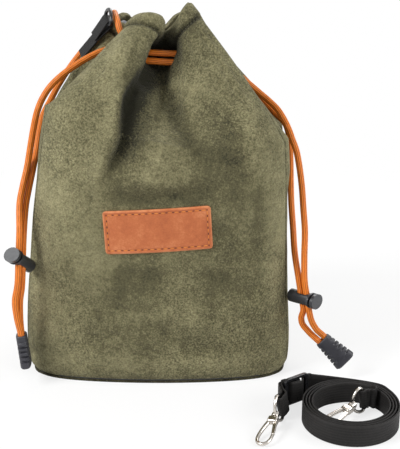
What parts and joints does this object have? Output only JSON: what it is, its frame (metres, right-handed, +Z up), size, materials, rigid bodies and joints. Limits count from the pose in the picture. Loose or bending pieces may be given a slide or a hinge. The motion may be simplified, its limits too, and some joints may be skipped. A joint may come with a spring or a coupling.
{
  "type": "camera shoulder bag",
  "caption": "Soft padded camera pouch with a gathered drawcord mouth, cord locks, side rings and a detached shoulder strap wound into a coil.",
  "frame": {"origin": "middle of the pouch's base, on the surface that it stands on", "axes": "+Z up through the gathered mouth, front panel with the leather patch towards -Y, +X to the right seen from the front"},
  "size_m": [0.2648, 0.2174, 0.2599],
  "materials": {
    "suede": "soft napped olive suede, gently creased",
    "lining": "pale grey brushed lining",
    "foam": "closed foam padding, hidden",
    "board": "stiff base board, hidden",
    "leather": "smooth tan leather with stitched edge",
    "drawcord": "braided orange cord with a slight sheen",
    "lock_plastic": "satin black moulded plastic",
    "clip_rubber": "ribbed soft black moulding",
    "spring_steel": "plain spring wire",
    "webbing": "black woven webbing",
    "black_plastic": "black moulded plastic",
    "black_ring": "black coated metal wire",
    "nickel": "bright nickel plate"
  },
  "bodies": {
    "pouch": {"front_panel": "suede", "side_panel_right": "suede", "back_panel": "suede", "side_panel_left": "suede", "foam_front": "foam", "foam_right": "foam", "foam_back": "foam", "foam_left": "foam", "base_panel": "suede", "base_board": "board", "lining": "lining", "leather_patch": "leather", "drawcord_left_mouth": "drawcord", "drawcord_right_mouth": "drawcord", "cord_left_front": "drawcord", "cord_left_back": "drawcord", "cord_right_front": "drawcord", "cord_right_back": "drawcord", "left_cord_end": "clip_rubber", "right_cord_end": "clip_rubber", "strap_tab_left": "webbing", "strap_tab_right": "webbing"},
    "left_lock": {"left_lock_body": "lock_plastic", "left_lock_spring": "spring_steel"},
    "left_button": {"left_lock_button": "lock_plastic"},
    "right_lock": {"right_lock_body": "lock_plastic", "right_lock_spring": "spring_steel"},
    "right_button": {"right_lock_button": "lock_plastic"},
    "left_ring": {"d_ring_left": "black_ring"},
    "right_ring": {"d_ring_right": "black_ring"},
    "strap": {"strap_webbing": "webbing", "strap_slider": "black_plastic"},
    "outer_eye": {"outer_hook_eye": "nickel"},
    "outer_hook": {"outer_hook_rivet": "nickel", "outer_hook_body": "nickel", "outer_hook_gate_pin": "nickel"},
    "outer_gate": {"outer_hook_gate": "nickel"},
    "inner_eye": {"inner_hook_eye": "nickel"},
    "inner_hook": {"inner_hook_rivet": "nickel", "inner_hook_body": "nickel", "inner_hook_gate_pin": "nickel"},
    "inner_gate": {"inner_hook_gate": "nickel"}
  },
  "joints": [
    {"name": "left_lock_slide", "type": "slide", "parent": "pouch", "child": "left_lock", "axis": [-0.0401, -0.3009, -0.9528], "range_m": [-0.012, 0.01]},
    {"name": "left_button_press", "type": "slide", "parent": "left_lock", "child": "left_button", "axis": [0.4097, 0.6545, -0.6355], "range_m": [0, 0.0013], "stiffness_N_per_m": 400, "springref_m": -0.003, "deforming": ["left_lock_spring"]},
    {"name": "right_lock_slide", "type": "slide", "parent": "pouch", "child": "right_lock", "axis": [0.1595, -0.1994, -0.9669], "range_m": [-0.01, 0.003]},
    {"name": "right_button_press", "type": "slide", "parent": "right_lock", "child": "right_button", "axis": [-0.7356, 0.6756, -0.05], "range_m": [0, 0.0013], "stiffness_N_per_m": 400, "springref_m": -0.003, "deforming": ["right_lock_spring"]},
    {"name": "left_ring_swing", "type": "hinge", "parent": "pouch", "child": "left_ring", "pos_m": [-0.03704, 0.01173, 0.24449], "axis": [0.2587, -0.9388, -0.2276], "range_deg": [-20, 80]},
    {"name": "right_ring_swing", "type": "hinge", "parent": "pouch", "child": "right_ring", "pos_m": [0.02646, 0.05199, 0.22299], "axis": [-0.8947, 0.2212, -0.3881], "range_deg": [-45, 90]},
    {"name": "strap_lift", "type": "slide", "parent": "pouch", "child": "strap", "axis": [0, 0, 1], "range_m": [0, 0.25]},
    {"name": "outer_eye_swing", "type": "hinge", "parent": "strap", "child": "outer_eye", "pos_m": [0.0812, -0.1172, 0.0108], "axis": [-0.2301, -0.1571, 0.9604], "range_deg": [-40, 40]},
    {"name": "outer_hook_swivel", "type": "hinge", "parent": "outer_eye", "child": "outer_hook", "pos_m": [0.0812, -0.1172, 0.0108], "axis": [-0.3933, -0.8877, -0.2395], "continuous": true},
    {"name": "outer_gate_open", "type": "hinge", "parent": "outer_hook", "child": "outer_gate", "pos_m": [0.0771, -0.13182, 0.00743], "axis": [-0.2301, -0.1571, 0.9604], "range_deg": [-20, 0], "stiffness_Nm_per_rad": 0.02, "springref_deg": 17.19},
    {"name": "inner_eye_swing", "type": "hinge", "parent": "strap", "child": "inner_eye", "pos_m": [0.137, -0.1076, 0.0108], "axis": [-0.1935, -0.1411, 0.9709], "range_deg": [-7, 5]},
    {"name": "inner_hook_swivel", "type": "hinge", "parent": "inner_eye", "child": "inner_hook", "pos_m": [0.137, -0.1076, 0.0108], "axis": [-0.7846, -0.5719, -0.2395], "continuous": true},
    {"name": "inner_gate_open", "type": "hinge", "parent": "inner_hook", "child": "inner_gate", "pos_m": [0.12621, -0.11819, 0.00711], "axis": [-0.1935, -0.1411, 0.9709], "range_deg": [-20, 0], "stiffness_Nm_per_rad": 0.02, "springref_deg": 17.19}
  ]
}
